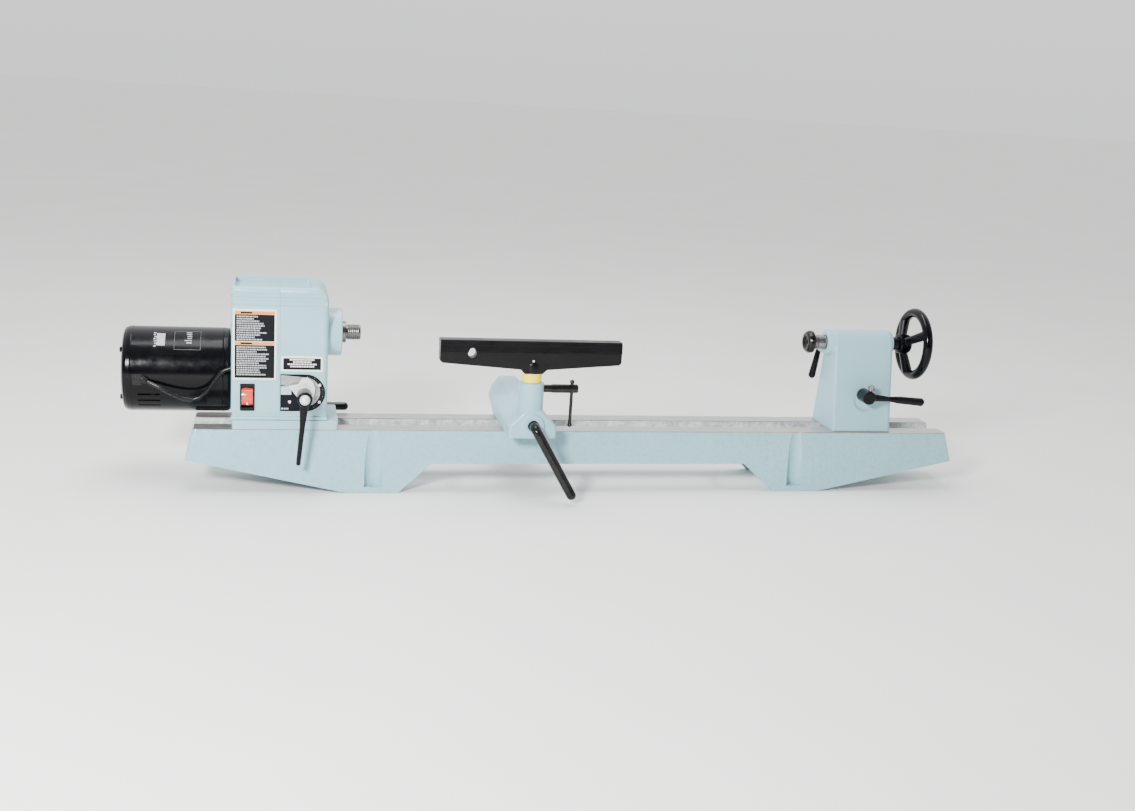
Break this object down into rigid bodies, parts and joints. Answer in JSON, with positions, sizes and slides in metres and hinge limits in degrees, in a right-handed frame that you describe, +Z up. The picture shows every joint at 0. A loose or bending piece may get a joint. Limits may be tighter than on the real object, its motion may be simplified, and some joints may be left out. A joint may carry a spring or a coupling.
{
  "type": "wood lathe",
  "caption": "Bench-top wood lathe: cast bed on splayed feet, swivelling belt-drive headstock with rear motor, banjo with tool rest, and tailstock with handwheel.",
  "frame": {"origin": "middle of the bench-bolt rectangle, on the plane under the feet of the bed", "axes": "+X along the bed from headstock to tailstock, +Y away from the operator, +Z up"},
  "size_m": [1.4435, 0.311, 0.335],
  "materials": {
    "casting_paint": "light blue-grey enamel over cast iron; ways left bare",
    "motor_black": "gloss black enamel",
    "handle_black": "gloss black enamel",
    "rest_black": "satin black paint over iron",
    "gunmetal": "blackened steel",
    "bare_steel": "turned steel",
    "clamp_iron": "unpainted iron",
    "sheave_metal": "die-cast",
    "belt_rubber": "matt",
    "cable_black": "satin",
    "plate_print": "printed plate with a pale border",
    "switch_black": "gloss",
    "switch_red": "gloss",
    "pointer_metal": "bright",
    "collar_yellow": "pale yellow"
  },
  "bodies": {
    "bed": {"bed": "casting_paint"},
    "headstock_base": {"headstock_base": "casting_paint", "headstock_eyebolt": "bare_steel", "headstock_clamp_plate": "clamp_iron"},
    "headstock_lock": {"headstock_lock_rod": "gunmetal"},
    "headstock": {"headstock_casting": "casting_paint", "headstock_drive_housing": "casting_paint", "spindle_bearings": "bare_steel", "warning_plate": "plate_print", "notice_plate": "plate_print", "speed_dial_plate": "plate_print", "dial_screws": "bare_steel", "switch_bezel": "switch_black", "drive_belt": "belt_rubber", "motor_shell": "motor_black", "motor_rear_bell": "motor_black", "motor_front_bell": "motor_black", "motor_through_bolts": "bare_steel", "motor_bearings": "bare_steel", "motor_stator": "clamp_iron", "motor_nameplate": "plate_print", "motor_cable": "cable_black", "cable_connector": "cable_black", "cable_gland": "cable_black", "mains_inlet_gland": "cable_black"},
    "spindle": {"spindle": "bare_steel", "spindle_sheaves": "sheave_metal", "spindle_locknut": "bare_steel"},
    "motor_rotor": {"motor_rotor": "clamp_iron", "motor_shaft": "bare_steel", "motor_sheaves": "sheave_metal"},
    "switch_rocker": {"switch_rocker": "switch_red"},
    "speed_lever": {"speed_lever": "handle_black", "speed_pointer": "pointer_metal", "speed_lever_nut": "bare_steel", "speed_lever_shaft": "bare_steel"},
    "rest_carriage": {"rest_clamp_plate": "clamp_iron"},
    "rest_swivel": {"rest_eyebolt": "bare_steel"},
    "banjo": {"banjo": "casting_paint"},
    "rest_cam_lever": {"rest_cam_lever": "gunmetal"},
    "post_clamp_screw": {"post_clamp_screw": "gunmetal"},
    "post_clamp_bar": {"post_clamp_bar": "gunmetal"},
    "post_collar": {"height_collar": "collar_yellow", "collar_set_screw": "bare_steel"},
    "tool_rest": {"tool_rest": "rest_black", "tool_rest_post": "bare_steel"},
    "tailstock": {"tailstock": "casting_paint", "tail_clamp_plate": "clamp_iron", "tail_clamp_bolt": "bare_steel"},
    "tail_lock": {"tail_lock_shaft": "bare_steel", "tail_lock_lever": "handle_black", "tail_lock_bolt": "bare_steel"},
    "quill_lock": {"quill_lock_lever": "handle_black", "quill_lock_stud": "bare_steel"},
    "quill": {"quill": "bare_steel", "centre_arbor": "bare_steel"},
    "live_centre": {"live_centre_head": "gunmetal"},
    "handwheel": {"handwheel": "handle_black", "lead_screw": "bare_steel", "handwheel_collar": "handle_black"}
  },
  "joints": [
    {"name": "headstock_travel", "type": "slide", "parent": "bed", "child": "headstock_base", "axis": [1, 0, 0], "range_m": [-0.05, 0.05]},
    {"name": "headstock_lock_turn", "type": "hinge", "parent": "headstock_base", "child": "headstock_lock", "pos_m": [-0.512, 0.03, 0.109], "axis": [0, 1, 0], "range_deg": [0, 60]},
    {"name": "headstock_swivel", "type": "hinge", "parent": "headstock_base", "child": "headstock", "pos_m": [-0.512, 0, 0.118], "axis": [0, 0, 1], "range_deg": [-45, 0]},
    {"name": "spindle_spin", "type": "hinge", "parent": "headstock", "child": "spindle", "pos_m": [-0.5, 0, 0.2554], "axis": [1, 0, 0], "continuous": true},
    {"name": "motor_spin", "type": "hinge", "parent": "headstock", "child": "motor_rotor", "pos_m": [-0.6, 0.06, 0.176], "axis": [1, 0, 0], "continuous": true},
    {"name": "switch_rock", "type": "hinge", "parent": "headstock", "child": "switch_rocker", "pos_m": [-0.5724, -0.0465, 0.1565], "axis": [1, 0, 0], "range_deg": [0, 10]},
    {"name": "speed_lever_turn", "type": "hinge", "parent": "headstock", "child": "speed_lever", "pos_m": [-0.483, -0.08, 0.164], "axis": [0, -1, 0], "range_deg": [0, 110]},
    {"name": "rest_travel", "type": "slide", "parent": "bed", "child": "rest_carriage", "axis": [1, 0, 0], "range_m": [-0.1, 0.25]},
    {"name": "rest_swivel_turn", "type": "hinge", "parent": "rest_carriage", "child": "rest_swivel", "pos_m": [-0.114, 0, 0.08], "axis": [0, 0, 1], "range_deg": [-35, 35]},
    {"name": "banjo_reach", "type": "slide", "parent": "rest_swivel", "child": "banjo", "axis": [0, 1, 0], "range_m": [-0.08, 0]},
    {"name": "rest_cam_turn", "type": "hinge", "parent": "banjo", "child": "rest_cam_lever", "pos_m": [-0.114, -0.1, 0.1256], "axis": [0, 1, 0], "range_deg": [-90, 0]},
    {"name": "post_screw_turn", "type": "hinge", "parent": "banjo", "child": "post_clamp_screw", "pos_m": [-0.06, -0.085, 0.184], "axis": [1, 0, 0], "range_deg": [-100, 100]},
    {"name": "post_bar_slide", "type": "slide", "parent": "post_clamp_screw", "child": "post_clamp_bar", "axis": [0, 0, 1], "range_m": [0, 0.015]},
    {"name": "tool_rest_swivel", "type": "hinge", "parent": "banjo", "child": "post_collar", "pos_m": [-0.1165, -0.085, 0.2], "axis": [0, 0, 1], "range_deg": [-60, 60]},
    {"name": "tool_rest_height", "type": "slide", "parent": "post_collar", "child": "tool_rest", "axis": [0, 0, 1], "range_m": [0, 0.035]},
    {"name": "tailstock_travel", "type": "slide", "parent": "bed", "child": "tailstock", "axis": [1, 0, 0], "range_m": [-0.2, 0.08]},
    {"name": "tail_lock_turn", "type": "hinge", "parent": "tailstock", "child": "tail_lock", "pos_m": [0.493, -0.06, 0.17], "axis": [0, 1, 0], "range_deg": [-90, 25]},
    {"name": "quill_lock_turn", "type": "hinge", "parent": "tailstock", "child": "quill_lock", "pos_m": [0.438, 0.043, 0.24], "axis": [0, 1, 0], "range_deg": [0, 60]},
    {"name": "handwheel_turn", "type": "hinge", "parent": "tailstock", "child": "handwheel", "pos_m": [0.58, 0, 0.2554], "axis": [1, 0, 0], "range_deg": [0, 3600]},
    {"name": "quill_travel", "type": "slide", "parent": "tailstock", "child": "quill", "axis": [-1, 0, 0], "range_m": [0, 0.051]},
    {"name": "live_centre_spin", "type": "hinge", "parent": "quill", "child": "live_centre", "pos_m": [0.4, 0, 0.2554], "axis": [1, 0, 0], "continuous": true}
  ],
  "couplings": [
    {"joint": "motor_spin", "follows": "spindle_spin", "ratio": 2.5},
    {"joint": "quill_travel", "follows": "handwheel_turn", "m_per_rad": 0.00080851}
  ]
}
